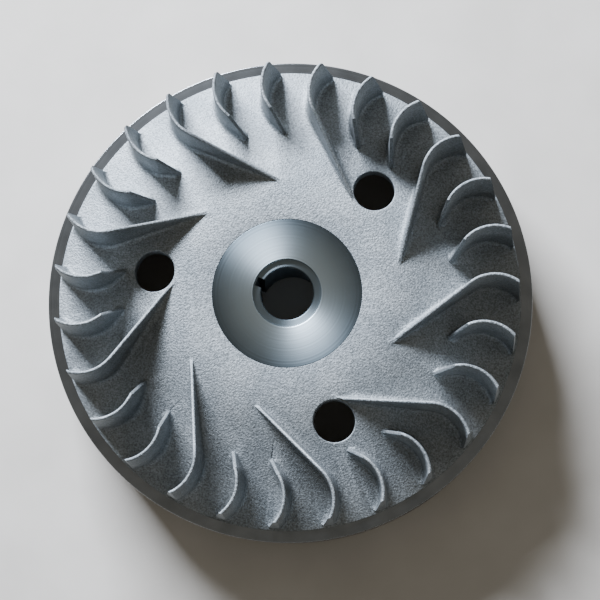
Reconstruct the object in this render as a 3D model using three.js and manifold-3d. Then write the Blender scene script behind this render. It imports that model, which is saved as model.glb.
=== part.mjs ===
// Fan flywheel of a small engine: a die-cast aluminium disc with curved cooling fins, a steel hub cast
// into it, and the ignition magnet group and its balance weight let into the rim.
// The fins and the disc are one casting. Each fin is a mesh of its own, so that collision pieces made from
// the meshes follow the bays between the fins instead of filling them.
// Millimetres, +Z up along the crankshaft. The origin is on the axis, level with the skirt's lower face.

import * as THREE from "three";
import { mergeVertices } from "three/addons/utils/BufferGeometryUtils.js";
import Module from "manifold-3d";

// Overall sizes.
const RIM_RADIUS = 82.5;
const FIN_TOP_Z = 50;
const PLATEAU_Z = 37.5; // the flat of the web round the hub
const LEDGE_Z = 26.2; // the turned ledge outside the fins
const TURN_STEPS = 72; // facets round the casting
const FIT_GAP = 0.1; // clearance left between a piece and the casting round it or under it

// Web: flat round the hub, then an arc, then a straight cone down to the ledge.
const WEB_EDGE_RADIUS = 78.65;
const WEB_EDGE_Z = LEDGE_Z + 0.8;
const WEB_CORNER_RADIUS = 38.75; // where the flat and the cone would meet
const WEB_ARC_RADIUS = 60;
const WEB_THICKNESS = 5;
const CONE_SLOPE = Math.atan2(PLATEAU_Z - WEB_EDGE_Z, WEB_EDGE_RADIUS - WEB_CORNER_RADIUS);
const ARC_START_RADIUS = WEB_CORNER_RADIUS - WEB_ARC_RADIUS * Math.tan(CONE_SLOPE / 2);
const ARC_END_RADIUS = ARC_START_RADIUS + WEB_ARC_RADIUS * Math.sin(CONE_SLOPE);

// Skirt under the rim, with its inner wall drawn inwards towards the web.
const SKIRT_INNER_RADIUS = 74;
const SKIRT_DRAFT = 1;
const RIM_CHAMFER = 0.5;

// Fins: every third one is long. In plan each is a straight run that touches a circle round the axis,
// then an arc that hooks it out to its tip.
const FIN_COUNT = 27;
const LONG_EVERY = 3;
const FIRST_FIN_ANGLE = 0;
const FIN_TANGENT_RADIUS = 33.7;
const FIN_RUN_ANGLE = 35; // the straight run's direction, from the radius through the tip
const FIN_ARC_RADIUS = 13.3;
const FIN_ARC_START = 50.6; // along the straight run, from its nearest point to the axis
const FIN_ARC_SWEEP = 70.6;
const FIN_RUN_STEPS = 3;
const FIN_ARC_STEPS = 6;
const FIN_TOP_THICKNESS = 1.2;
const FIN_DRAFT = 2; // degrees on each side
const FIN_TIP_DRAFT = 4.5; // degrees on the outer end
const FIN_ROOT_DEPTH = 2; // how far a fin reaches into the web before it is trimmed to it
const SHOULDER_DROP = 0.5; // the as-cast run lies a little below the turned top
const LONG_FIN_INNER_RADIUS = 38.7;
const SHORT_FIN_INNER_RADIUS = 55.5;

// Hub insert: flat face, counterbore, tapered bore and keyway.
const HUB_FACE_RADIUS = 25;
const HUB_FLANGE_THICKNESS = 8;
const COUNTERBORE_RADIUS = 11.5;
const COUNTERBORE_DEPTH = 1.3;
const BORE_RADIUS = 8.9; // at the counterbore's floor
const BORE_TAPER = 1 / 16; // radius gained for each millimetre down: a 1 in 8 taper
const SLEEVE_RADIUS = 17.5;
const SLEEVE_FLATS = 12; // keep the insert from turning in the casting
const HUB_BOTTOM_Z = 2;
const KEYWAY_WIDTH = 3;
const KEYWAY_DEPTH = 2.2; // beyond the bore's wall
const KEYWAY_ANGLE = 157.5;

// Collar, ribs and holes of the casting.
const COLLAR_RADIUS = 22; // round the sleeve, at its lower end
const COLLAR_DRAFT = 1.2;
const FLANGE_COLLAR_RADIUS = 29.3; // round the hub's flange
const FLANGE_COLLAR_DRAFT = 0.5;
const RIB_COUNT = 6;
const RIB_THICKNESS = 3;
const RIB_DEPTH = 4;
const FIRST_RIB_ANGLE = 20;
const HOLE_COUNT = 3;
const HOLE_RADIUS = 6.9;
const HOLE_CIRCLE_RADIUS = 45.5;
const FIRST_HOLE_ANGLE = 50;

// Magnet group and balance weight, on opposite sides of the rim.
const GROUP_ANGLE = 303;
const WEIGHT_ANGLE = GROUP_ANGLE - 180;
const POCKET_RADIUS = 73;
const PAD_RADIUS = 68; // the skirt is thicker behind each pocket
const PAD_MARGIN_ANGLE = 4;
const MAGNET_HALF_ANGLE = 4.9;
const SHOE_START_ANGLE = 5.1;
const SHOE_END_ANGLE = 15;
const WEIGHT_HALF_ANGLE = 12;
const LAMINATION_COUNT = 8;
const LAMINATION_THICKNESS = 1.6;
const LAMINATION_PITCH = 1.7;
const STACK_Z = 6.2;
const STACK_HEIGHT = (LAMINATION_COUNT - 1) * LAMINATION_PITCH + LAMINATION_THICKNESS;
const RIVET_RADIUS = 1.5;
const RIVET_CIRCLE_RADIUS = 77.5;
const RIVET_ANGLES = [7.6, 12.5]; // from the middle of the group

const wasm = await Module();
wasm.setup();

const degrees = THREE.MathUtils.degToRad;

// ---- joining and cutting ----

function solid(geometry) {
  const bare = geometry.clone();
  bare.deleteAttribute("normal");
  bare.deleteAttribute("uv");
  const merged = mergeVertices(bare, 1e-4);
  const vertProperties = merged.attributes.position.array;
  const triVerts = new Uint32Array(merged.index.array);
  return new wasm.Manifold(new wasm.Mesh({ numProp: 3, vertProperties, triVerts }));
}

function geometryOf(body) {
  const mesh = body.getMesh();
  const positions = new THREE.BufferAttribute(new Float32Array(mesh.vertProperties), 3);
  const geometry = new THREE.BufferGeometry().setAttribute("position", positions);
  geometry.setIndex(new THREE.BufferAttribute(new Uint32Array(mesh.triVerts), 1));
  geometry.computeVertexNormals();
  return geometry;
}

// ---- basic forms ----

// A closed outline of [radius, z] points, anticlockwise with z up, turned round the axis.
function turned(outline, steps = TURN_STEPS) {
  const points = [...outline, outline[0]].map(([radius, z]) => new THREE.Vector2(radius, z));
  return new THREE.LatheGeometry(points, steps).rotateX(Math.PI / 2);
}

function prism(shape, low, high, curveSegments = 12) {
  const options = { depth: high - low, bevelEnabled: false, curveSegments };
  return new THREE.ExtrudeGeometry(shape, options).translate(0, 0, low);
}

function upright(radius, low, high, x, y, steps) {
  const cylinder = new THREE.CylinderGeometry(radius, radius, high - low, steps);
  return cylinder.rotateX(Math.PI / 2).translate(x, y, (low + high) / 2);
}

// A piece of a ring seen from above, between two radii and two angles in degrees.
function ringPiece(inner, outer, from, to) {
  const shape = new THREE.Shape();
  shape.absarc(0, 0, outer, degrees(from), degrees(to), false);
  shape.absarc(0, 0, inner, degrees(to), degrees(from), true);
  shape.closePath();
  return shape;
}

function polar(radius, angle) {
  return [radius * Math.cos(degrees(angle)), radius * Math.sin(degrees(angle))];
}

// ---- disc ----

function webZ(radius) {
  if (radius <= ARC_START_RADIUS) return PLATEAU_Z;
  if (radius >= ARC_END_RADIUS) return PLATEAU_Z - (radius - WEB_CORNER_RADIUS) * Math.tan(CONE_SLOPE);
  const along = radius - ARC_START_RADIUS;
  return PLATEAU_Z - WEB_ARC_RADIUS + Math.sqrt(WEB_ARC_RADIUS ** 2 - along ** 2);
}

function webArcRadii(steps) {
  const span = ARC_END_RADIUS - ARC_START_RADIUS;
  return Array.from({ length: steps + 1 }, (_, i) => ARC_START_RADIUS + (span * i) / steps);
}

function discBlank() {
  const cavityRadius = HUB_FACE_RADIUS + FIT_GAP;
  const flangeSeatZ = PLATEAU_Z - HUB_FLANGE_THICKNESS - FIT_GAP;
  const sleeveHole = SLEEVE_RADIUS - 1;
  const wallTop = SKIRT_INNER_RADIUS - SKIRT_DRAFT;
  const arc = webArcRadii(5);
  const upper = arc.map((radius) => [radius, webZ(radius)]);
  const under = arc.map((radius) => [radius, webZ(radius) - WEB_THICKNESS]);
  return turned([
    [cavityRadius, flangeSeatZ],
    [sleeveHole, flangeSeatZ],
    [sleeveHole, HUB_BOTTOM_Z + 1],
    [COLLAR_RADIUS, HUB_BOTTOM_Z + 1],
    [COLLAR_RADIUS + COLLAR_DRAFT, flangeSeatZ - 7],
    [FLANGE_COLLAR_RADIUS, flangeSeatZ - 3],
    [FLANGE_COLLAR_RADIUS + FLANGE_COLLAR_DRAFT, PLATEAU_Z - WEB_THICKNESS],
    ...under,
    [wallTop, webZ(wallTop) - WEB_THICKNESS],
    [SKIRT_INNER_RADIUS, 0],
    [RIM_RADIUS - RIM_CHAMFER, 0],
    [RIM_RADIUS, RIM_CHAMFER],
    [RIM_RADIUS, LEDGE_Z - RIM_CHAMFER],
    [RIM_RADIUS - RIM_CHAMFER, LEDGE_Z],
    [WEB_EDGE_RADIUS, LEDGE_Z],
    [WEB_EDGE_RADIUS, WEB_EDGE_Z],
    ...upper.reverse(),
    [cavityRadius, PLATEAU_Z],
  ]);
}

function rib(angle) {
  const from = FLANGE_COLLAR_RADIUS - 1;
  const to = SKIRT_INNER_RADIUS + 1;
  const depthAt = (radius) => webZ(radius) - WEB_THICKNESS - RIB_DEPTH;
  const shape = new THREE.Shape();
  shape.moveTo(from, depthAt(from) + RIB_DEPTH + 1);
  shape.lineTo(from, depthAt(from));
  shape.lineTo(WEB_CORNER_RADIUS, depthAt(WEB_CORNER_RADIUS));
  shape.lineTo(to, depthAt(to));
  shape.lineTo(to, depthAt(to) + RIB_DEPTH + 1);
  shape.lineTo(WEB_CORNER_RADIUS, depthAt(WEB_CORNER_RADIUS) + RIB_DEPTH + 1);
  shape.closePath();
  const plate = prism(shape, -RIB_THICKNESS / 2, RIB_THICKNESS / 2);
  return plate.rotateX(Math.PI / 2).rotateZ(degrees(angle));
}

function pad(angle, halfAngle) {
  const reach = halfAngle + PAD_MARGIN_ANGLE;
  const shape = ringPiece(PAD_RADIUS, SKIRT_INNER_RADIUS + 2, angle - reach, angle + reach);
  return prism(shape, 0, webZ(PAD_RADIUS) - WEB_THICKNESS + 1);
}

function pocket(angle, halfAngle) {
  const reach = halfAngle + 0.1;
  const shape = ringPiece(POCKET_RADIUS, RIM_RADIUS + 5, angle - reach, angle + reach);
  return prism(shape, STACK_Z - FIT_GAP, STACK_Z + STACK_HEIGHT + FIT_GAP);
}

// The twelve-sided hole through the collar that the hub's sleeve fills.
function sleeveCavity() {
  const radius = SLEEVE_RADIUS + FIT_GAP;
  return upright(radius, HUB_BOTTOM_Z - 2, PLATEAU_Z - HUB_FLANGE_THICKNESS, 0, 0, SLEEVE_FLATS);
}

function disc() {
  let body = solid(discBlank());
  for (let i = 0; i < RIB_COUNT; i++)
    body = body.add(solid(rib(FIRST_RIB_ANGLE + (360 * i) / RIB_COUNT)));
  body = body.add(solid(pad(GROUP_ANGLE, SHOE_END_ANGLE)));
  body = body.add(solid(pad(WEIGHT_ANGLE, WEIGHT_HALF_ANGLE)));
  body = body.subtract(solid(pocket(GROUP_ANGLE, SHOE_END_ANGLE)));
  body = body.subtract(solid(pocket(WEIGHT_ANGLE, WEIGHT_HALF_ANGLE)));
  body = body.subtract(solid(sleeveCavity()));
  for (let i = 0; i < HOLE_COUNT; i++) {
    const [x, y] = polar(HOLE_CIRCLE_RADIUS, FIRST_HOLE_ANGLE + (360 * i) / HOLE_COUNT);
    body = body.subtract(solid(upright(HOLE_RADIUS, 0, PLATEAU_Z + 1, x, y, 32)));
  }
  return geometryOf(body);
}

// ---- fins ----

// The fin's middle line from its inner end to its tip: points with their direction, for a tip on +X.
function finPath(innerRadius) {
  const run = degrees(FIN_RUN_ANGLE);
  const along = new THREE.Vector2(Math.cos(run), Math.sin(run));
  const across = new THREE.Vector2(-along.y, along.x);
  const foot = across.clone().multiplyScalar(-FIN_TANGENT_RADIUS);
  const arcStart = foot.clone().addScaledVector(along, FIN_ARC_START);
  const arcCentre = arcStart.clone().addScaledVector(across, -FIN_ARC_RADIUS);
  const innerAlong = Math.sqrt(innerRadius ** 2 - FIN_TANGENT_RADIUS ** 2);
  const inner = foot.clone().addScaledVector(along, innerAlong);
  const stations = [];
  for (let i = 0; i < FIN_RUN_STEPS; i++) {
    const point = inner.clone().lerp(arcStart, i / FIN_RUN_STEPS);
    stations.push({ point, heading: run, onArc: false });
  }
  for (let i = 0; i <= FIN_ARC_STEPS; i++) {
    const heading = run - (degrees(FIN_ARC_SWEEP) * i) / FIN_ARC_STEPS;
    const outwards = new THREE.Vector2(-Math.sin(heading), Math.cos(heading));
    const point = arcCentre.clone().addScaledVector(outwards, FIN_ARC_RADIUS);
    stations.push({ point, heading, onArc: true });
  }
  return stations;
}

// Height of the fin's top: flat on the arc, then straight down to the web at the inner end.
function finTopZ(station, path) {
  if (station.onArc) return FIN_TOP_Z;
  const inner = path[0].point;
  const arcStart = path.find((other) => other.onArc).point;
  const share = station.point.distanceTo(inner) / arcStart.distanceTo(inner);
  return THREE.MathUtils.lerp(webZ(inner.length()), FIN_TOP_Z - SHOULDER_DROP, share);
}

// A fin whose root reaches into the web, for a tip on +X.
function untrimmedFin(innerRadius) {
  const path = finPath(innerRadius);
  const positions = [];
  path.forEach((station, i) => {
    const top = finTopZ(station, path);
    const root = webZ(Math.min(station.point.length(), WEB_EDGE_RADIUS)) - FIN_ROOT_DEPTH;
    const heading = new THREE.Vector2(Math.cos(station.heading), Math.sin(station.heading));
    const side = new THREE.Vector2(-heading.y, heading.x);
    const isTip = i === path.length - 1;
    const halfTop = (FIN_TOP_THICKNESS / 2) * (isTip ? 0.6 : 1);
    const halfRoot = halfTop + (top - root) * Math.tan(degrees(FIN_DRAFT));
    const overhang = isTip ? (top - root) * Math.tan(degrees(FIN_TIP_DRAFT)) : 0;
    const foot = station.point.clone().addScaledVector(heading, overhang);
    for (const [from, half, z] of [[station.point, halfTop, top], [foot, halfRoot, root]])
      for (const hand of [1, -1]) {
        const corner = from.clone().addScaledVector(side, hand * half);
        positions.push(corner.x, corner.y, z);
      }
  });
  // Each station has four corners: top left, top right, root left, root right.
  const index = [];
  const quad = (a, b, c, d) => index.push(a, b, c, a, c, d);
  for (let i = 0; i < path.length - 1; i++) {
    const here = 4 * i;
    const next = here + 4;
    quad(here, here + 1, next + 1, next);
    quad(here + 2, here, next, next + 2);
    quad(here + 1, here + 3, next + 3, next + 1);
    quad(here + 3, here + 2, next + 2, next + 3);
  }
  const last = 4 * (path.length - 1);
  quad(0, 2, 3, 1);
  quad(last, last + 1, last + 3, last + 2);
  const geometry = new THREE.BufferGeometry();
  geometry.setAttribute("position", new THREE.Float32BufferAttribute(positions, 3));
  return geometry.setIndex(index);
}

// The fin in its place round the disc, trimmed to stand just clear of the web.
function fin(number, innerRadius, raisedDisc) {
  const turn = degrees(FIRST_FIN_ANGLE + (360 * number) / FIN_COUNT);
  return geometryOf(solid(untrimmedFin(innerRadius).rotateZ(turn)).subtract(raisedDisc));
}

// ---- hub insert ----

function hubInsert() {
  const seatZ = PLATEAU_Z - COUNTERBORE_DEPTH;
  const boreAt = (z) => BORE_RADIUS + (seatZ - z) * BORE_TAPER;
  const flangeZ = PLATEAU_Z - HUB_FLANGE_THICKNESS;
  const head = solid(
    turned([
      [boreAt(flangeZ), flangeZ],
      [HUB_FACE_RADIUS, flangeZ],
      [HUB_FACE_RADIUS, PLATEAU_Z],
      [COUNTERBORE_RADIUS, PLATEAU_Z],
      [COUNTERBORE_RADIUS, seatZ],
      [BORE_RADIUS, seatZ],
    ]),
  );
  const sleeve = solid(upright(SLEEVE_RADIUS, HUB_BOTTOM_Z, flangeZ + 1, 0, 0, SLEEVE_FLATS));
  const reamer = solid(
    turned([
      [0, HUB_BOTTOM_Z - 1],
      [boreAt(HUB_BOTTOM_Z - 1), HUB_BOTTOM_Z - 1],
      [boreAt(seatZ), seatZ],
      [boreAt(seatZ), seatZ + 5],
      [0, seatZ + 5],
    ]),
  );
  return geometryOf(sleeve.add(head).subtract(reamer).subtract(solid(keyway(boreAt, seatZ))));
}

// The keyway's floor follows the bore's taper, so its outline is cut square to the slot's width.
function keyway(boreAt, seatZ) {
  const low = HUB_BOTTOM_Z - 1;
  const shape = new THREE.Shape();
  shape.moveTo(0, low);
  shape.lineTo(boreAt(low) + KEYWAY_DEPTH, low);
  shape.lineTo(boreAt(seatZ) + KEYWAY_DEPTH, seatZ);
  shape.lineTo(boreAt(seatZ) + KEYWAY_DEPTH, seatZ + 1);
  shape.lineTo(0, seatZ + 1);
  shape.closePath();
  const slot = prism(shape, -KEYWAY_WIDTH / 2, KEYWAY_WIDTH / 2);
  return slot.rotateX(Math.PI / 2).rotateZ(degrees(KEYWAY_ANGLE));
}

// ---- magnet group and balance weight ----

function rimBlock(angle, halfAngle) {
  const shape = ringPiece(POCKET_RADIUS + FIT_GAP, RIM_RADIUS, angle - halfAngle, angle + halfAngle);
  return prism(shape, STACK_Z, STACK_Z + STACK_HEIGHT);
}

// One sheet of a pole shoe. The hand is 1 for the leading shoe and -1 for the trailing one.
function lamination(hand, number) {
  const ends = [GROUP_ANGLE + hand * SHOE_START_ANGLE, GROUP_ANGLE + hand * SHOE_END_ANGLE];
  const shape = ringPiece(POCKET_RADIUS + FIT_GAP, RIM_RADIUS, Math.min(...ends), Math.max(...ends));
  for (const angle of RIVET_ANGLES) {
    const [x, y] = polar(RIVET_CIRCLE_RADIUS, GROUP_ANGLE + hand * angle);
    const hole = new THREE.Path();
    hole.absarc(x, y, RIVET_RADIUS + FIT_GAP, 0, 2 * Math.PI, true);
    shape.holes.push(hole);
  }
  const low = STACK_Z + number * LAMINATION_PITCH;
  return prism(shape, low, low + LAMINATION_THICKNESS, 6);
}

function rivet(hand, angle) {
  const [x, y] = polar(RIVET_CIRCLE_RADIUS, GROUP_ANGLE + hand * angle);
  return upright(RIVET_RADIUS, STACK_Z, STACK_Z + STACK_HEIGHT, x, y, 16);
}

// ---- assembly ----

const finishes = {
  castAluminium: { color: 0xb9bdc2, roughness: 0.6, metalness: 0.9 },
  turnedSteel: { color: 0x8d9297, roughness: 0.35, metalness: 1 },
  sheetSteel: { color: 0x6f7173, roughness: 0.45, metalness: 1 },
  magnetFerrite: { color: 0x2b2c2e, roughness: 0.6, metalness: 0.2 },
};

const flywheel = new THREE.Group();

function addPiece(name, geometry, finish) {
  const piece = new THREE.Mesh(geometry, new THREE.MeshStandardMaterial(finishes[finish]));
  piece.name = name;
  flywheel.add(piece);
}

addPiece("fan_disc", disc(), "castAluminium");
const raisedDisc = solid(discBlank()).translate([0, 0, FIT_GAP]);
for (let i = 0; i < FIN_COUNT; i++) {
  const isLong = i % LONG_EVERY === 0;
  const group = Math.floor(i / LONG_EVERY);
  const name = isLong ? `long_fin_${group + 1}` : `short_fin_${i - group}`;
  const innerRadius = isLong ? LONG_FIN_INNER_RADIUS : SHORT_FIN_INNER_RADIUS;
  addPiece(name, fin(i, innerRadius, raisedDisc), "castAluminium");
}
addPiece("hub_insert", hubInsert(), "turnedSteel");
addPiece("magnet", rimBlock(GROUP_ANGLE, MAGNET_HALF_ANGLE), "magnetFerrite");
addPiece("balance_weight", rimBlock(WEIGHT_ANGLE, WEIGHT_HALF_ANGLE), "sheetSteel");
for (const [shoe, hand] of [["leading", 1], ["trailing", -1]]) {
  for (let i = 0; i < LAMINATION_COUNT; i++)
    addPiece(`${shoe}_lamination_${i + 1}`, lamination(hand, i), "sheetSteel");
  RIVET_ANGLES.forEach((angle, i) => {
    addPiece(`${shoe}_rivet_${i + 1}`, rivet(hand, angle), "turnedSteel");
  });
}

export default flywheel;
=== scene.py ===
import math

import bmesh
import bpy
from mathutils import Matrix, Vector


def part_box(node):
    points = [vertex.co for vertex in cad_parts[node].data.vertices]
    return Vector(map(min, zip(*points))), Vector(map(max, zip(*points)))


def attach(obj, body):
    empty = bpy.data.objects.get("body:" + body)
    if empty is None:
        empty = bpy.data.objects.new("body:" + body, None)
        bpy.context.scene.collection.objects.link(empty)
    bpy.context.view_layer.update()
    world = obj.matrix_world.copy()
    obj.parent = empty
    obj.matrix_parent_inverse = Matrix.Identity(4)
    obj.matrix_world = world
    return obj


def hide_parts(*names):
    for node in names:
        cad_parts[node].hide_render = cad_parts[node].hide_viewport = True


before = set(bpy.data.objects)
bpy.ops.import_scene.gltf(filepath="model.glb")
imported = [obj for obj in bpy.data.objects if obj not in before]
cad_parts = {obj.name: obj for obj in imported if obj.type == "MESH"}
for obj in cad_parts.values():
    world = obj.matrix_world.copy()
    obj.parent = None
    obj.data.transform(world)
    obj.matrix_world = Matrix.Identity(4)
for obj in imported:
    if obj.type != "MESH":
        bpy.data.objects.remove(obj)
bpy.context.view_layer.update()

# ---------------------------------------------------------------- sizes
# The shapes are worked out in millimetres and scaled to metres when a mesh is made.
MM = 0.001
disc_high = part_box("fan_disc")[1]
fin_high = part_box("long_fin_1")[1]
hub_low, hub_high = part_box("hub_insert")
weight_low, weight_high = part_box("balance_weight")

RIM_RADIUS = disc_high[0] / MM
FIN_TOP = fin_high[2] / MM
PLATEAU = hub_high[2] / MM
HUB_RADIUS = hub_high[0] / MM
HUB_BOTTOM = hub_low[2] / MM
STACK_LOW = weight_low[2] / MM
STACK_HIGH = weight_high[2] / MM

# Turned ledge outside the fins and the edge of the web above it.
LEDGE = 26.2
WEB_EDGE = 27.0
WEB_EDGE_RADIUS = 78.65
WEB_CORNER_RADIUS = 38.75
WEB_ARC_RADIUS = 60.0
WEB_THICKNESS = 5.0
UNDERSIDE_ARC_RADIUS = 50.0
UNDERSIDE_CORNER = 4.0
WEB_SLOPE = (PLATEAU - WEB_EDGE) / (WEB_EDGE_RADIUS - WEB_CORNER_RADIUS)
WEB_ARC_START = WEB_CORNER_RADIUS - WEB_ARC_RADIUS * math.tan(math.atan(WEB_SLOPE) / 2)
WEB_ARC_END = WEB_ARC_START + WEB_ARC_RADIUS * math.sin(math.atan(WEB_SLOPE))
SKIRT_INNER_RADIUS = 74.0
SKIRT_DRAFT = 1.0

# Fins: a straight run that touches a circle round the shaft, hooked out to the tip by an arc.
FIN_COUNT = 27
LONG_EVERY = 3
FIRST_FIN_ANGLE = 0.0
FIN_TANGENT_RADIUS = 33.7
FIN_RUN_ANGLE = 35.0
FIN_ARC_RADIUS = 13.3
FIN_ARC_START = 50.6
FIN_ARC_SWEEP = 70.6
FIN_HALF_TOP = 0.55
FIN_DRAFT = math.tan(math.radians(2.0))
FIN_TIP_DRAFT = math.tan(math.radians(4.5))
FIN_TIP_RADIUS = 76.2
FIN_FILLET = 1.8
FIN_TOP_CLEARANCE = 0.02
SHOULDER_DROP = 0.5
SHOULDER_SHARE = 0.12  # of the arc, over which the top edge steps up
LONG_INNER_RADIUS = 38.7
SHORT_INNER_RADIUS = 55.5

# Hub insert.
COUNTERBORE_RADIUS = 11.5
COUNTERBORE_DEPTH = 1.3
BORE_RADIUS = 8.9
BORE_TAPER = 1 / 16
BORE_CHAMFER = 0.3
FLANGE_THICKNESS = 8.0
SLEEVE_RADIUS = 17.5
KEYWAY_WIDTH = 3.0
KEYWAY_DEPTH = 2.2
KEYWAY_ANGLE = 157.5
FIT_GAP = 0.1

# Collar, ribs, holes, and the pads behind the pockets in the rim.
COLLAR_RADIUS = 22.0
COLLAR_DRAFT = 1.2
COLLAR_LENGTH = 7.0
FLANGE_COLLAR_RADIUS = 29.3
FLANGE_COLLAR_DRAFT = 0.5
FLANGE_COLLAR_LENGTH = 3.0
COLLAR_CORNER = 1.5
RIB_COUNT = 6
FIRST_RIB_ANGLE = 20.0
RIB_DEPTH = 4.0
RIB_HALF_TOP = 1.4
RIB_FILLET = 1.5
HOLE_COUNT = 3
HOLE_RADIUS = 6.9
HOLE_CIRCLE_RADIUS = 45.5
FIRST_HOLE_ANGLE = 50.0
HOLE_EDGE = 0.5
GROUP_ANGLE = 303.0
GROUP_HALF_ANGLE = 15.1
WEIGHT_ANGLE = GROUP_ANGLE - 180.0
WEIGHT_HALF_ANGLE = 12.1
POCKET_RADIUS = 73.0
PAD_RADIUS = 68.0
PAD_REACH = 4.0  # degrees past the pocket's end
PAD_BLEND = 2.5  # degrees
OVERLAP_RADIUS = SKIRT_INNER_RADIUS + 1.5  # where a pad is already inside the wall

# How finely round shapes are stepped, and how sharply faces must meet for the edge to stay crisp.
STEPS_ROUND = 360
CORNER_STEPS = 6
SHARP_ANGLE = math.radians(32)


# ---------------------------------------------------------------- mesh helpers
def web_height(radius):
    """The finned side of the web: flat, then an arc, then a straight cone."""
    if radius <= WEB_ARC_START:
        return PLATEAU
    if radius >= WEB_ARC_END:
        return PLATEAU - (radius - WEB_CORNER_RADIUS) * WEB_SLOPE
    return PLATEAU - WEB_ARC_RADIUS + math.sqrt(WEB_ARC_RADIUS**2 - (radius - WEB_ARC_START) ** 2)


def underside_height(radius):
    return web_height(radius) - WEB_THICKNESS


def eased(share):
    """A share from 0 to 1, with a soft start and end."""
    return share * share * (3 - 2 * share)


def polar(radius, angle):
    """The point at this radius from the shaft, at an angle in degrees."""
    return Vector((radius * math.cos(math.radians(angle)), radius * math.sin(math.radians(angle))))


def rounded(corners):
    """A closed outline from (x, y, corner radius) points, with each corner turned into an arc."""
    outline = []
    for i, (x, y, radius) in enumerate(corners):
        corner = Vector((x, y))
        before = (Vector(corners[i - 1][:2]) - corner).normalized()
        after = (Vector(corners[(i + 1) % len(corners)][:2]) - corner).normalized()
        if radius == 0:
            outline.append(corner)
            continue
        half = before.angle(after) / 2
        start = corner + before * (radius / math.tan(half))
        centre = corner + (before + after).normalized() * (radius / math.sin(half))
        spoke = start - centre
        turn = (corner + after * (radius / math.tan(half)) - centre).angle_signed(spoke)
        for step in range(CORNER_STEPS + 1):
            outline.append(centre + Matrix.Rotation(turn * step / CORNER_STEPS, 2) @ spoke)
    return outline


def mesh_object(name, bm):
    """A new object from a mesh worked out in millimetres."""
    bmesh.ops.transform(bm, matrix=Matrix.Scale(MM, 4), verts=bm.verts)
    bmesh.ops.recalc_face_normals(bm, faces=bm.faces)
    mesh = bpy.data.meshes.new(name)
    bm.to_mesh(mesh)
    bm.free()
    piece = bpy.data.objects.new(name, mesh)
    bpy.context.scene.collection.objects.link(piece)
    return piece


def loft(bm, rings, closed=False):
    """Skins rings of points, each ring a closed loop, and caps the ends unless the last joins the first."""
    loops = [[bm.verts.new(point) for point in ring] for ring in rings]
    pairs = list(zip(loops, loops[1:]))
    if closed:
        pairs.append((loops[-1], loops[0]))
    for one, other in pairs:
        for i in range(len(one)):
            j = (i + 1) % len(one)
            bm.faces.new((one[i], one[j], other[j], other[i]))
    if not closed:
        bm.faces.new(loops[0])
        bm.faces.new(loops[-1])


def turned(name, outline):
    """A closed outline of (radius, height) turned round the shaft."""
    bm = bmesh.new()
    rings = []
    for i in range(STEPS_ROUND):
        angle = 2 * math.pi * i / STEPS_ROUND
        rings.append([(r * math.cos(angle), r * math.sin(angle), z) for r, z in outline])
    loft(bm, rings, closed=True)
    return mesh_object(name, bm)


def plug(name, outline):
    """A solid turned from (radius, height) points, flat at its two ends."""
    bm = bmesh.new()
    angles = [2 * math.pi * i / STEPS_ROUND for i in range(STEPS_ROUND)]
    loft(bm, [[(r * math.cos(a), r * math.sin(a), z) for a in angles] for r, z in outline])
    return mesh_object(name, bm)


def prism(name, outline, low, high):
    """An outline of (x, y) points carried straight up from low to high."""
    bm = bmesh.new()
    loft(bm, [[(x, y, z) for x, y in outline] for z in (low, high)])
    return mesh_object(name, bm)


def combine(base, tool, operation):
    """Joins or cuts base with tool, which is used up."""
    modifier = base.modifiers.new("combine", "BOOLEAN")
    modifier.solver = "MANIFOLD"
    modifier.operation = operation
    modifier.object = tool
    evaluated = base.evaluated_get(bpy.context.evaluated_depsgraph_get())
    result = bpy.data.meshes.new_from_object(evaluated)
    base.modifiers.clear()
    old = base.data
    base.data = result
    bpy.data.meshes.remove(old)
    bpy.data.objects.remove(tool)


def smooth_shade(piece):
    """Smooth faces with crisp edges where the shape turns sharply."""
    piece.data.shade_smooth()
    piece.data.set_sharp_from_angle(angle=SHARP_ANGLE)


# ---------------------------------------------------------------- casting
def casting_blank():
    """Web, rim, skirt and collar in one turning, before fins, ribs, pockets and holes."""
    wall_top = SKIRT_INNER_RADIUS - SKIRT_DRAFT
    seat = PLATEAU - FLANGE_THICKNESS - FIT_GAP
    cavity = HUB_RADIUS + FIT_GAP
    sleeve_hole = SLEEVE_RADIUS - 1  # opened up to the sleeve's twelve sides later
    corners = [
        (cavity, seat, 0),
        (sleeve_hole, seat, 0),
        (sleeve_hole, HUB_BOTTOM + 1, 0),
        (COLLAR_RADIUS, HUB_BOTTOM + 1, 0.8),
        (COLLAR_RADIUS + COLLAR_DRAFT, seat - COLLAR_LENGTH, COLLAR_CORNER),
        (FLANGE_COLLAR_RADIUS, seat - FLANGE_COLLAR_LENGTH, COLLAR_CORNER),
        (FLANGE_COLLAR_RADIUS + FLANGE_COLLAR_DRAFT, PLATEAU - WEB_THICKNESS, COLLAR_CORNER),
        (WEB_CORNER_RADIUS, PLATEAU - WEB_THICKNESS, UNDERSIDE_ARC_RADIUS),
        (wall_top, underside_height(wall_top), UNDERSIDE_CORNER),
        (SKIRT_INNER_RADIUS, 0, 0.4),
        (RIM_RADIUS, 0, 0.5),
        (RIM_RADIUS, LEDGE, 0.35),
        (WEB_EDGE_RADIUS, LEDGE, 0.15),
        (WEB_EDGE_RADIUS, WEB_EDGE, 0.3),
        (WEB_CORNER_RADIUS, PLATEAU, WEB_ARC_RADIUS),
        (cavity, PLATEAU, 0.12),
    ]
    return turned("fan_casting_fine", rounded(corners))


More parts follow.
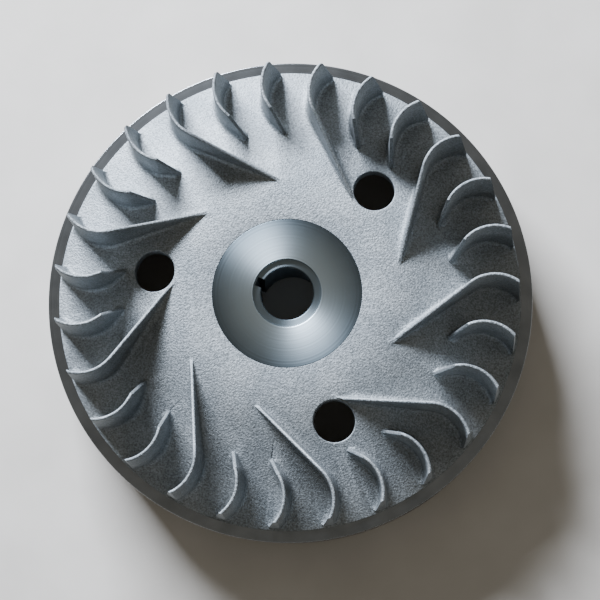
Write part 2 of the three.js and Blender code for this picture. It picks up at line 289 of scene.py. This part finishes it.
def fin_stations(inner_radius):
    """The fin's middle line for a tip on +X, as (point, sideways direction, share).

    The share goes from 0 to 1 along the straight run, and from 1 to 2 along the arc.
    """
    run = math.radians(FIN_RUN_ANGLE)
    along = Vector((math.cos(run), math.sin(run)))
    across = Vector((-along.y, along.x))
    foot = across * -FIN_TANGENT_RADIUS
    arc_start = foot + along * FIN_ARC_START
    centre = arc_start - across * FIN_ARC_RADIUS
    inner = math.sqrt(inner_radius**2 - FIN_TANGENT_RADIUS**2)
    length = FIN_ARC_START - inner
    stations = []
    step_length = 1.2
    run_steps = max(8, round(length / step_length))
    for i in range(-1, run_steps):
        share = i / run_steps
        stations.append((foot + along * (inner + length * share), across, share))
    arc_steps = 22
    overrun = 15  # degrees past the tip, where the envelope cuts the fin off
    for i in range(arc_steps + 1):
        turn = -math.radians(FIN_ARC_SWEEP + overrun) * i / arc_steps
        side = Matrix.Rotation(turn, 2) @ across
        stations.append((centre + side * FIN_ARC_RADIUS, side, 1 + i / arc_steps))
    return stations


def ridge(bm, stations, crest_of, ground, up, half_top, fillet, turn):
    """A thin wall standing on the ground surface, with drafted sides and filleted feet.

    up is 1 for a wall on the finned side and -1 for one under the web.
    """
    spread = 0.6  # how far the foot goes on under the ground, past the fillet
    buried = 2.0  # how deep it goes
    arc_steps = 6
    crest_steps = 5
    rings = []
    for point, side, share in stations:
        crest = crest_of(share)
        height = up * (crest - ground(point.length))
        radius = min(fillet, max(0.02, 0.45 * height))
        edge = min(0.9 * half_top, max(0.01, 0.25 * height))
        half_foot = half_top + max(0.0, height) * FIN_DRAFT
        half_ring = [(half_foot + radius + spread, -0.2, False)]
        for i in range(arc_steps + 1):
            angle = math.pi / 2 * i / arc_steps
            across = half_foot + radius * (1 - math.sin(angle))
            half_ring.append((across, radius * (1 - math.cos(angle)), False))
        for i in range(crest_steps + 1):
            angle = math.pi / 2 * i / crest_steps
            across = half_top - edge * (1 - math.cos(angle))
            half_ring.append((across, edge * (1 - math.sin(angle)), True))
        ring = []
        for hand in (1, -1):
            for across, rise, from_crest in half_ring[::hand]:
                place = point + side * across * hand
                level = crest - up * rise if from_crest else ground(place.length) + up * rise
                ring.append((place.x, place.y, level))
        for hand in (-1, 1):
            place = point + side * (half_foot + radius + spread) * hand
            ring.append((place.x, place.y, ground(place.length) - up * buried))
        rings.append(ring)
    before = set(bm.verts)
    loft(bm, rings)
    own = [v for v in bm.verts if v not in before]
    bmesh.ops.rotate(bm, cent=(0, 0, 0), matrix=Matrix.Rotation(math.radians(turn), 3, "Z"), verts=own)


def fin_crest(inner_radius):
    """Height of the fin's top edge: rising along the run, a small step, then level on the arc."""
    low = web_height(inner_radius)
    high = FIN_TOP - FIN_TOP_CLEARANCE - SHOULDER_DROP

    def crest(share):
        if share < 1:
            return low + (high - low) * share
        return high + SHOULDER_DROP * eased(min(1, (share - 1) / SHOULDER_SHARE))

    return crest


def fin_set(first):
    """Every third fin, so that no two of one set touch."""
    bm = bmesh.new()
    inner_radius = LONG_INNER_RADIUS if first % LONG_EVERY == 0 else SHORT_INNER_RADIUS
    stations = fin_stations(inner_radius)
    for i in range(first, FIN_COUNT, LONG_EVERY):
        turn = FIRST_FIN_ANGLE + 360 * i / FIN_COUNT
        ridge(bm, stations, fin_crest(inner_radius), web_height, 1, FIN_HALF_TOP, FIN_FILLET, turn)
    return mesh_object("fins", bm)


def fin_envelope():
    """The turned shape that all fin tips and tops lie inside."""
    low = LEDGE - 4
    radius_low = FIN_TIP_RADIUS + (FIN_TOP - low) * FIN_TIP_DRAFT
    return plug("envelope", [(radius_low, low), (FIN_TIP_RADIUS, FIN_TOP)])


def rib_crest(radius):
    return underside_height(radius) - RIB_DEPTH


def rib_set():
    """Straight ribs under the web, from the collar to the skirt."""
    bm = bmesh.new()
    start = FLANGE_COLLAR_RADIUS - 1
    end = SKIRT_INNER_RADIUS + 1
    steps = 24
    stations = []
    for i in range(steps + 1):
        radius = start + (end - start) * i / steps
        stations.append((Vector((radius, 0)), Vector((0, 1)), radius))
    for i in range(RIB_COUNT):
        turn = FIRST_RIB_ANGLE + 360 * i / RIB_COUNT
        ridge(bm, stations, rib_crest, underside_height, -1, RIB_HALF_TOP, RIB_FILLET, turn)
    return mesh_object("ribs", bm)


def pad(angle, half_angle):
    """Thicker skirt behind a pocket, blending into the wall at each end."""
    reach = half_angle + PAD_REACH
    outline = []
    steps = 48
    for i in range(steps + 1):
        offset = -reach + 2 * reach * i / steps
        share = eased(min(1, (reach - abs(offset)) / PAD_BLEND))
        radius = OVERLAP_RADIUS + share * (PAD_RADIUS - OVERLAP_RADIUS)
        outline.append(polar(radius, angle + offset))
    for i in range(steps + 1):
        offset = reach - 2 * reach * i / steps
        outline.append(polar(OVERLAP_RADIUS + 1.5, angle + offset))
    return prism("pad", outline, 0, underside_height(PAD_RADIUS) + 1)


def ring_outline(inner, outer, angle, half_angle):
    """A stretch of a flat ring, seen from above."""
    steps = 40
    outline = [polar(outer, angle - half_angle + 2 * half_angle * i / steps) for i in range(steps + 1)]
    outline += [polar(inner, angle + half_angle - 2 * half_angle * i / steps) for i in range(steps + 1)]
    return outline


def hole_cutter(angle):
    """A drill whose flared mouth follows the web, which leaves a rounded edge round the hole."""
    centre = polar(HOLE_CIRCLE_RADIUS, angle)
    steps = 64
    # Each ring is a radius and a height over the web, from far below it to just above.
    rings = [(HOLE_RADIUS, -30.0), (HOLE_RADIUS, -2.0)]
    for i in range(CORNER_STEPS + 1):
        bend = math.pi / 2 * i / CORNER_STEPS
        rings.append((HOLE_RADIUS + HOLE_EDGE * (1 - math.cos(bend)), -HOLE_EDGE * (1 - math.sin(bend))))
    rings.append((HOLE_RADIUS + HOLE_EDGE + 0.3, 0.1))
    bm = bmesh.new()
    points = []
    for reach, rise in rings:
        ring = []
        for i in range(steps):
            place = centre + polar(reach, 360 * i / steps)
            ring.append((place.x, place.y, web_height(place.length) + rise))
        points.append(ring)
    points.append([(x, y, FIN_TOP + 2) for x, y, _ in points[-1]])
    loft(bm, points)
    return mesh_object("hole", bm)


def regular_outline(radius, sides):
    """An outline with this many equal sides, with one corner on +Y."""
    angles = [2 * math.pi * i / sides for i in range(sides)]
    return [Vector((radius * math.sin(a), radius * math.cos(a))) for a in angles]


def make_casting():
    """The whole die casting with what was cut out of it."""
    casting = casting_blank()
    for first in range(LONG_EVERY):
        fins = fin_set(first)
        combine(fins, fin_envelope(), "INTERSECT")
        combine(casting, fins, "UNION")
    combine(casting, rib_set(), "UNION")
    for angle, half_angle in ((GROUP_ANGLE, GROUP_HALF_ANGLE), (WEIGHT_ANGLE, WEIGHT_HALF_ANGLE)):
        combine(casting, pad(angle, half_angle), "UNION")
        outline = ring_outline(POCKET_RADIUS, RIM_RADIUS + 5, angle, half_angle)
        pocket = prism("pocket", outline, STACK_LOW - FIT_GAP, STACK_HIGH + FIT_GAP)
        combine(casting, pocket, "DIFFERENCE")
    sleeve = regular_outline(SLEEVE_RADIUS + FIT_GAP, 12)
    combine(casting, prism("sleeve", sleeve, HUB_BOTTOM - 2, PLATEAU - FLANGE_THICKNESS), "DIFFERENCE")
    for i in range(HOLE_COUNT):
        combine(casting, hole_cutter(FIRST_HOLE_ANGLE + 360 * i / HOLE_COUNT), "DIFFERENCE")
    return casting


def mark_turned_faces(casting):
    """The second material goes on what the lathe cuts: rim, ledge and lower face."""
    near = 0.05
    for face in casting.data.polygons:
        centre = face.center / MM
        radius = centre.xy.length
        is_rim = radius > WEB_EDGE_RADIUS + near and centre.z < LEDGE + near
        in_pocket = STACK_LOW - 0.2 < centre.z < STACK_HIGH + 0.2 and radius < RIM_RADIUS - 0.3
        is_lower_face = face.normal.z < -0.9 and centre.z < near
        face.material_index = int((is_rim and not in_pocket) or is_lower_face)


# ---------------------------------------------------------------- hub insert
def make_hub():
    """A flanged hub with a twelve-sided sleeve, reamed to a taper and cut for a key."""
    seat = PLATEAU - COUNTERBORE_DEPTH
    flange = PLATEAU - FLANGE_THICKNESS

    def bore(z):
        return BORE_RADIUS + (seat - z) * BORE_TAPER

    head = turned(
        "hub_insert_fine",
        rounded(
            [
                (BORE_RADIUS - 2, flange, 0),
                (HUB_RADIUS, flange, 0.3),
                (HUB_RADIUS, PLATEAU, 0.12),
                (COUNTERBORE_RADIUS, PLATEAU, 0.25),
                (COUNTERBORE_RADIUS, seat, 0.3),
                (BORE_RADIUS - 2, seat, 0),
            ]
        ),
    )
    sleeve = prism("sleeve", regular_outline(SLEEVE_RADIUS, 12), HUB_BOTTOM, flange + 1)
    combine(head, sleeve, "UNION")
    low = HUB_BOTTOM - 1
    reamer = plug(
        "reamer",
        [
            (bore(HUB_BOTTOM) + BORE_CHAMFER + 1, low),
            (bore(HUB_BOTTOM), HUB_BOTTOM + BORE_CHAMFER),
            (bore(seat), seat - BORE_CHAMFER),
            (bore(seat) + BORE_CHAMFER + 1, seat + 1),
        ],
    )
    combine(head, reamer, "DIFFERENCE")
    keyway = [
        (0, low),
        (bore(low) + KEYWAY_DEPTH, low),
        (bore(seat) + KEYWAY_DEPTH, seat + 1),
        (0, seat + 1),
    ]
    bm = bmesh.new()
    along = polar(1, KEYWAY_ANGLE)
    across = Vector((-along.y, along.x)) * KEYWAY_WIDTH / 2
    rings = []
    for hand in (-1, 1):
        places = [(along * radius + across * hand, z) for radius, z in keyway]
        rings.append([(place.x, place.y, z) for place, z in places])
    loft(bm, rings)
    combine(head, mesh_object("keyway", bm), "DIFFERENCE")
    return head


# ---------------------------------------------------------------- materials
def colour(hex_value):
    """An sRGB hex value as linear light."""
    parts = [int(hex_value[i : i + 2], 16) / 255 for i in (1, 3, 5)]
    linear = [c / 12.92 if c <= 0.04045 else ((c + 0.055) / 1.055) ** 2.4 for c in parts]
    return (*linear, 1.0)


def per_size(millimetres):
    """The texture scale that gives a pattern features of this size, in object space."""
    return 1 / (millimetres * MM)


# A Mix node's two colours and its mixed colour, by their place on the node.
MIX_FIRST = 6
MIX_SECOND = 7
MIX_RESULT = 2


def add(tree, kind, inputs=None, ramp=(), **settings):
    """Adds a node with its settings; an input is a value or another node's output.

    ramp holds a colour ramp's two stops, as (position, colour).
    """
    node = tree.nodes.new("ShaderNode" + kind)
    for name, value in settings.items():
        setattr(node, name, value)
    for name, value in (inputs or {}).items():
        if isinstance(value, bpy.types.NodeSocket):
            tree.links.new(value, node.inputs[name])
        else:
            node.inputs[name].default_value = value
    for i, (position, hex_value) in enumerate(ramp):
        node.color_ramp.elements[i].position = position
        node.color_ramp.elements[i].color = colour(hex_value)
    return node


def new_material(name):
    material = bpy.data.materials.new(name)
    material.use_nodes = True
    material.node_tree.nodes.clear()
    return material, material.node_tree


def finish_material(material, tree, shader):
    output = add(tree, "OutputMaterial")
    tree.links.new(shader.outputs["BSDF"], output.inputs["Surface"])
    return material


def blasted_cast_aluminium():
    """Die-cast aluminium blasted with fine shot: pale, matt, and peppered with tiny dents.

    Real shot leaves dents of about 0.2 mm, too fine to show, so they are drawn 0.62 mm wide.
    """
    material, tree = new_material("blasted_cast_aluminium")
    place = add(tree, "TexCoord").outputs["Object"]
    dents = add(tree, "TexNoise", {"Vector": place, "Scale": per_size(0.62), "Detail": 2.0, "Roughness": 0.7})
    blotches = add(tree, "TexNoise", {"Vector": place, "Scale": per_size(14), "Detail": 2.0})
    speckle_tones = ((0.34, "#676c6e"), (0.66, "#9aa0a3"))
    speckle = add(tree, "ValToRGB", {"Fac": dents.outputs["Fac"]}, ramp=speckle_tones)
    cloud_tones = ((0.35, "#e4e6e8"), (0.65, "#ffffff"))
    cloud = add(tree, "ValToRGB", {"Fac": blotches.outputs["Fac"]}, ramp=cloud_tones)
    tint = add(
        tree,
        "Mix",
        {"Factor": 1.0, MIX_FIRST: speckle.outputs["Color"], MIX_SECOND: cloud.outputs["Color"]},
        data_type="RGBA",
        blend_type="MULTIPLY",
    )
    rough = add(tree, "MapRange", {"Value": dents.outputs["Fac"], "To Min": 0.5, "To Max": 0.72})
    bump = add(tree, "Bump", {"Height": dents.outputs["Fac"], "Strength": 0.75, "Distance": 0.35 * MM})
    shader = add(
        tree,
        "BsdfPrincipled",
        {
            "Base Color": tint.outputs[MIX_RESULT],
            "Metallic": 0.75,
            "Roughness": rough.outputs["Result"],
            "Normal": bump.outputs["Normal"],
        },
    )
    return finish_material(material, tree, shader)


def lathe_turned(name, base, dark, painted_sheen, roughness, groove, stretch):
    """Metal cut on a lathe: fine rings round the shaft, which spread a light into a bow-tie.

    Real rings are about 0.15 mm apart, too fine to show, so groove draws them coarser.
    The third tone, after base and dark, is painted on the hub's face towards the counterbore, and more weakly
    on the counterbore's floor: a painted highlight that makes the metal paler near the bore.
    """
    material, tree = new_material(name)
    place = add(tree, "TexCoord").outputs["Object"]
    flat = add(tree, "VectorMath", {0: place, 1: (1.0, 1.0, 0.0)}, operation="MULTIPLY")
    radius = add(tree, "VectorMath", {0: flat.outputs["Vector"]}, operation="LENGTH").outputs["Value"]
    height = add(tree, "SeparateXYZ", {0: place}).outputs["Z"]
    feed = add(tree, "Math", {0: radius, 1: height}, operation="ADD").outputs["Value"]
    rings = add(
        tree,
        "TexNoise",
        {"W": feed, "Scale": per_size(groove), "Detail": 2.0},
        noise_dimensions="1D",
    )
    stain = add(tree, "TexNoise", {"Vector": place, "Scale": per_size(9), "Detail": 4.0})
    tone = add(tree, "ValToRGB", {"Fac": stain.outputs["Fac"]}, ramp=((0.3, dark), (0.7, base)))
    # Painted highlight: the face is mixed towards the paler tone from the hub's edge in to the counterbore,
    # and the counterbore's floor gets a weaker share.
    sheen_towards_bore = add(
        tree,
        "MapRange",
        {"Value": radius, "From Min": HUB_RADIUS * MM, "From Max": COUNTERBORE_RADIUS * MM},
    )
    below_face = (PLATEAU - COUNTERBORE_DEPTH - 0.3) * MM
    face = add(
        tree,
        "MapRange",
        {"Value": height, "From Min": below_face, "From Max": (PLATEAU - 0.1) * MM},
    )
    painted_sheen_mask = add(tree, "Math", {0: sheen_towards_bore.outputs["Result"], 1: face.outputs["Result"]}, operation="MULTIPLY")
    tone_with_painted_sheen = add(
        tree,
        "Mix",
        {"Factor": painted_sheen_mask.outputs["Value"], MIX_FIRST: tone.outputs["Color"], MIX_SECOND: colour(painted_sheen)},
        data_type="RGBA",
    )
    rough = add(
        tree,
        "MapRange",
        {"Value": rings.outputs["Fac"], "To Min": roughness - 0.06, "To Max": roughness + 0.08},
    )
    bump = add(tree, "Bump", {"Height": rings.outputs["Fac"], "Strength": 0.12, "Distance": 0.05 * MM})
    tangent = add(tree, "Tangent", direction_type="RADIAL", axis="Z")
    shader = add(
        tree,
        "BsdfPrincipled",
        {
            "Base Color": tone_with_painted_sheen.outputs[MIX_RESULT],
            "Metallic": 1.0,
            "Roughness": rough.outputs["Result"],
            "Anisotropic": stretch,
            "Anisotropic Rotation": 0.25,
            "Tangent": tangent.outputs["Tangent"],
            "Normal": bump.outputs["Normal"],
        },
    )
    return finish_material(material, tree, shader)


def grained(name, base, dark, grain, metallic, roughness):
    """A metal, ceramic or floor with an even grain of two tones, drawn coarse enough to show."""
    material, tree = new_material(name)
    place = add(tree, "TexCoord").outputs["Object"]
    noise = add(tree, "TexNoise", {"Vector": place, "Scale": per_size(grain), "Detail": 4.0})
    tone = add(tree, "ValToRGB", {"Fac": noise.outputs["Fac"]}, ramp=((0.3, dark), (0.7, base)))
    rough = add(
        tree,
        "MapRange",
        {"Value": noise.outputs["Fac"], "To Min": roughness - 0.08, "To Max": roughness + 0.08},
    )
    bump = add(tree, "Bump", {"Height": noise.outputs["Fac"], "Strength": 0.2, "Distance": 0.1 * MM})
    shader = add(
        tree,
        "BsdfPrincipled",
        {
            "Base Color": tone.outputs["Color"],
            "Metallic": metallic,
            "Roughness": rough.outputs["Result"],
            "Normal": bump.outputs["Normal"],
        },
    )
    return finish_material(material, tree, shader)


# ---------------------------------------------------------------- stage
FLOOR_SIZE = 16  # metres
FLOOR_HEIGHT = -0.2 * MM  # just clear of the skirt's lower face


def make_stage():
    bpy.ops.mesh.primitive_plane_add(size=FLOOR_SIZE, location=(0, 0, FLOOR_HEIGHT))
    floor = bpy.context.object
    floor.name = "floor"
    # Matt painted board: pale and plain, with soft patches a few centimetres across.
    paint = grained("pale_floor", base="#b9b5ae", dark="#aeaaa3", grain=30, metallic=0.0, roughness=0.8)
    floor.data.materials.append(paint)


def add_area_light(name, azimuth, elevation, distance, width, height, watts, tint):
    """A rectangular light, with its size and distance in metres, aimed at the shaft."""
    light = bpy.data.lights.new(name, "AREA")
    light.shape = "RECTANGLE"
    light.size = width
    light.size_y = height
    light.energy = watts
    light.color = colour(tint)[:3]
    lamp = bpy.data.objects.new(name, light)
    bpy.context.scene.collection.objects.link(lamp)
    side = polar(math.cos(math.radians(elevation)) * distance, azimuth)
    lamp.location = (side.x, side.y, math.sin(math.radians(elevation)) * distance)
    lamp.rotation_euler = (-Vector(lamp.location)).to_track_quat("-Z", "Y").to_euler()


def make_light():
    """One soft lamp, low on the +Y side and a little towards -X, and a dim warm sky to fill its shadows."""
    world = bpy.data.worlds.new("studio")
    bpy.context.scene.world = world
    world.use_nodes = True
    background = world.node_tree.nodes["Background"]
    background.inputs["Color"].default_value = colour("#d0cabf")
    background.inputs["Strength"].default_value = 0.46
    add_area_light(
        "key",
        azimuth=117,
        elevation=31,
        distance=1.2,
        width=0.6,
        height=0.3,
        watts=97,
        tint="#ebf2ff",
    )


def make_camera():
    """Almost straight above the hub, leaning a little towards -Y."""
    camera_data = bpy.data.cameras.new("camera")
    camera_data.lens = 100.7
    camera_data.sensor_width = 36
    camera_data.clip_start = 0.01
    camera = bpy.data.objects.new("camera", camera_data)
    bpy.context.scene.collection.objects.link(camera)
    lean = math.radians(9)
    lean_towards = -72
    distance = 560
    aim_right = 4.35
    aim_down = 2.4
    side = polar(math.sin(lean), lean_towards)
    back = Vector((side.x, side.y, math.cos(lean)))
    right = Vector((0, 1, 0)).cross(back).normalized()
    up = back.cross(right)
    hub_face = Vector((0, 0, PLATEAU))
    camera.location = (hub_face + back * distance + right * aim_right - up * aim_down) * MM
    camera.rotation_euler = Matrix((right, up, back)).transposed().to_euler()
    bpy.context.scene.camera = camera


# ---------------------------------------------------------------- assembly
def dress(piece, *finishes):
    """Gives a piece its finishes, in place of any it has."""
    piece.data.materials.clear()
    for finish in finishes:
        piece.data.materials.append(finish)


cast_finish = blasted_cast_aluminium()

# The same casting where the lathe has cut it: smoother and a little darker, with faint rings.
turned_aluminium = lathe_turned(
    "turned_aluminium",
    base="#85898c",
    dark="#707477",
    painted_sheen="#85898c",
    roughness=0.22,
    groove=0.35,
    stretch=0.05,
)

# Carbon steel with a turned face: blue-grey, with two bright lobes where its rings catch the light, and a
# painted highlight that turns it paler towards the bore.
turned_steel = lathe_turned(
    "turned_steel",
    base="#636f77",
    dark="#576269",
    painted_sheen="#aebcc3",
    roughness=0.37,
    groove=0.5,
    stretch=0.77,
)

# Punched magnet sheet, ground flush with the rim: mid grey with a dull, even sheen.
sheet_steel = grained(
    "magnet_sheet_steel", base="#9a9b9b", dark="#77797a", grain=0.6, metallic=1.0, roughness=0.38
)

# Sintered ferrite, ground flat: a nearly black ceramic with a soft gloss.
ferrite = grained(
    "ground_ferrite", base="#3a3b3d", dark="#28292b", grain=0.4, metallic=0.1, roughness=0.55
)

# Grey cast iron, turned: warmer and duller than steel, mottled by its graphite.
grey_iron = grained(
    "turned_grey_iron", base="#8a8884", dark="#6b6966", grain=0.7, metallic=1.0, roughness=0.42
)

# Drawn steel wire: the smoothest and brightest of the set-in pieces.
rivet_steel = grained(
    "drawn_rivet_steel", base="#a9a9a8", dark="#8b8b8a", grain=0.8, metallic=1.0, roughness=0.35
)

casting = make_casting()
dress(casting, cast_finish, turned_aluminium)
mark_turned_faces(casting)
smooth_shade(casting)
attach(casting, "root")
fin_names = [node_name for node_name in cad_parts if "_fin_" in node_name]
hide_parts("fan_disc", *fin_names)

hub = make_hub()
dress(hub, turned_steel)
smooth_shade(hub)
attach(hub, "root")
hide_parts("hub_insert")

# The other pieces keep their CAD meshes.
dress(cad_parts["magnet"], ferrite)
dress(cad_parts["balance_weight"], grey_iron)
for node_name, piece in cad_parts.items():
    if "_lamination_" in node_name:
        dress(piece, sheet_steel)
    if "_rivet_" in node_name:
        dress(piece, rivet_steel)

make_stage()
make_light()
make_camera()
